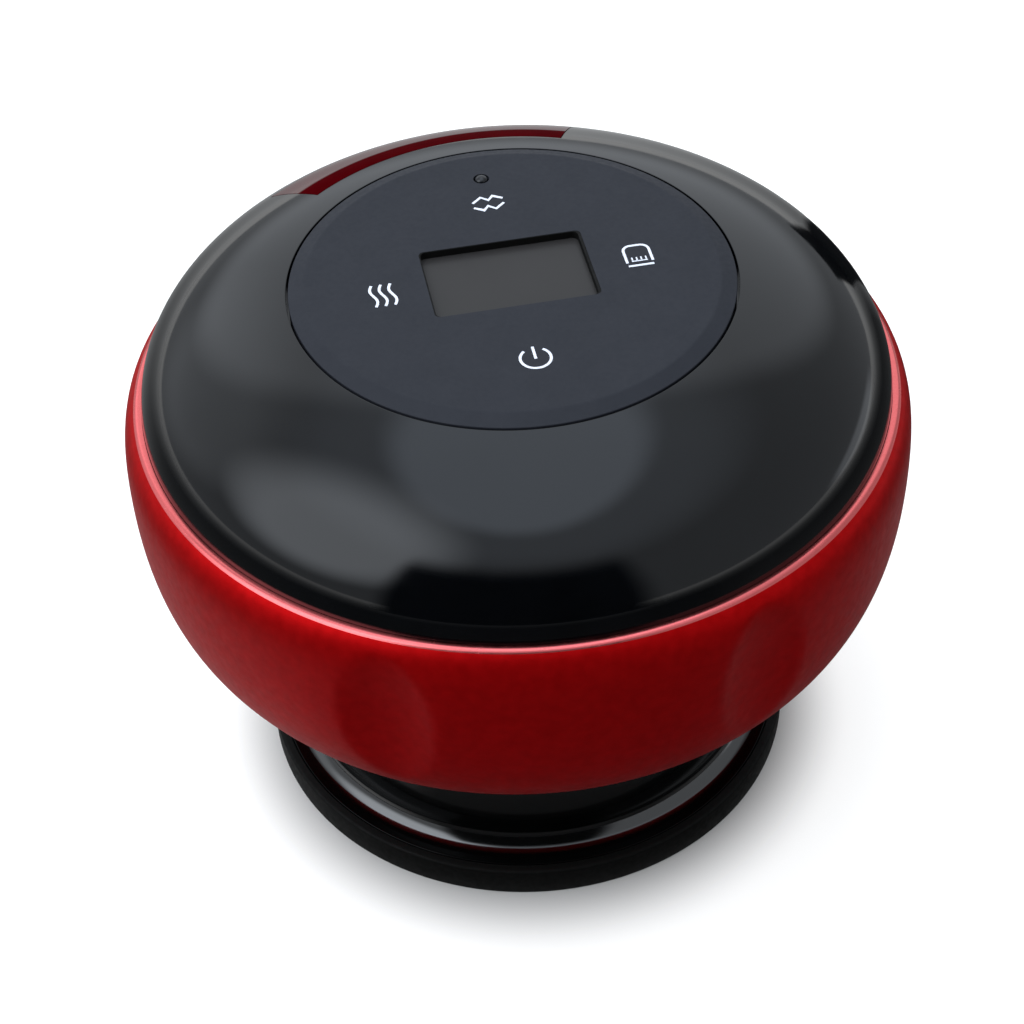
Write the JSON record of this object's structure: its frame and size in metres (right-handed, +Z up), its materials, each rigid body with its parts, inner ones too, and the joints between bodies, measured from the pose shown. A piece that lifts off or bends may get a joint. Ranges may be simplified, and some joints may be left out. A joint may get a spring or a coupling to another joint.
{
  "type": "electric cupping massager",
  "caption": "Palm-held battery-powered suction cup: round body with touch panel and display, air pump, release valve, heated and lit cup.",
  "frame": {"origin": "centre of the cup's mouth, on the surface that the massager stands on", "axes": "+Z up along the cup's axis, -Y towards the front where the power symbol is, +X to the front's right"},
  "size_m": [0.11, 0.11, 0.0834],
  "materials": {
    "red_paint": "satin metallic red paint over moulded plastic",
    "gloss_black": "polished black",
    "slate": "fine matt slate",
    "smoked_window": "smoked window, semi-gloss",
    "dark_red": "deep red, polished",
    "soft_black": "matt silicone rubber",
    "black_plastic": "moulded black",
    "grey_plastic": "moulded grey",
    "white_plastic": "moulded white",
    "steel": "plated steel",
    "aluminium": "dark anodised",
    "circuit_board": "green solder mask",
    "clear_silicone": "milky silicone",
    "cell_wrap": "blue film round a metal can",
    "red_light": "clear red, lets light through",
    "sponge": "open white foam",
    "cable_jacket": "smooth cable jacket"
  },
  "bodies": {
    "housing": {"red_shell": "red_paint", "dome_cover": "gloss_black", "cup": "gloss_black", "touch_panel": "slate", "display_lens": "smoked_window", "rear_accent": "dark_red", "mouth_ring": "soft_black", "cup_gasket": "soft_black", "cable_grommet": "soft_black", "pump_diaphragm": "soft_black", "touch_contact_power": "soft_black", "touch_contact_heat": "soft_black", "touch_contact_mode": "soft_black", "touch_contact_suction": "soft_black", "indicator_light_pipe": "black_plastic", "pressure_sensor": "black_plastic", "pump_crankcase": "black_plastic", "pump_head": "black_plastic", "battery_cradle": "black_plastic", "chassis": "grey_plastic", "display_module": "white_plastic", "valve_coil": "white_plastic", "valve_nozzle": "white_plastic", "air_manifold": "white_plastic", "pump_motor": "steel", "motor_clamp": "steel", "valve_yoke": "steel", "valve_spring": "steel", "charging_socket": "steel", "board_screw_1": "steel", "board_screw_2": "steel", "board_screw_3": "steel", "chassis_screw_1": "steel", "chassis_screw_2": "steel", "chassis_screw_3": "steel", "heater_screw_1": "steel", "heater_screw_2": "steel", "heater_screw_3": "steel", "clamp_screw_1": "steel", "clamp_screw_2": "steel", "charger_screw": "steel", "heater_plate": "aluminium", "main_board": "circuit_board", "led_ring_board": "circuit_board", "charging_board": "circuit_board", "cup_hose": "clear_silicone", "pump_hose": "clear_silicone", "valve_hose": "clear_silicone", "sensor_hose": "clear_silicone", "battery_cell": "cell_wrap", "light_ring": "red_light", "filter_sponge": "sponge", "battery_cable": "cable_jacket", "pump_cable": "cable_jacket", "heater_cable": "cable_jacket"},
    "pump_crank": {"pump_crank": "steel"},
    "connecting_rod": {"connecting_rod": "white_plastic"},
    "valve_plunger": {"valve_plunger": "steel"},
    "filter_cap": {"filter_cap": "black_plastic"}
  },
  "joints": [
    {"name": "pump_turn", "type": "hinge", "parent": "housing", "child": "pump_crank", "pos_m": [0.0003, 0.012, 0.0515], "axis": [1, 0, 0], "continuous": true},
    {"name": "rod_orbit", "type": "hinge", "parent": "pump_crank", "child": "connecting_rod", "pos_m": [0.0003, 0.012, 0.0524], "axis": [1, 0, 0], "continuous": true},
    {"name": "valve_open", "type": "slide", "parent": "housing", "child": "valve_plunger", "axis": [0, 0, -1], "range_m": [0, 0.0012], "stiffness_N_per_m": 150, "springref_m": -0.002, "deforming": ["valve_spring"]},
    {"name": "filter_cap_pull", "type": "slide", "parent": "housing", "child": "filter_cap", "axis": [0, 0, -1], "range_m": [0, 0.012]}
  ],
  "couplings": [
    {"joint": "rod_orbit", "follows": "pump_turn", "ratio": -1}
  ]
}
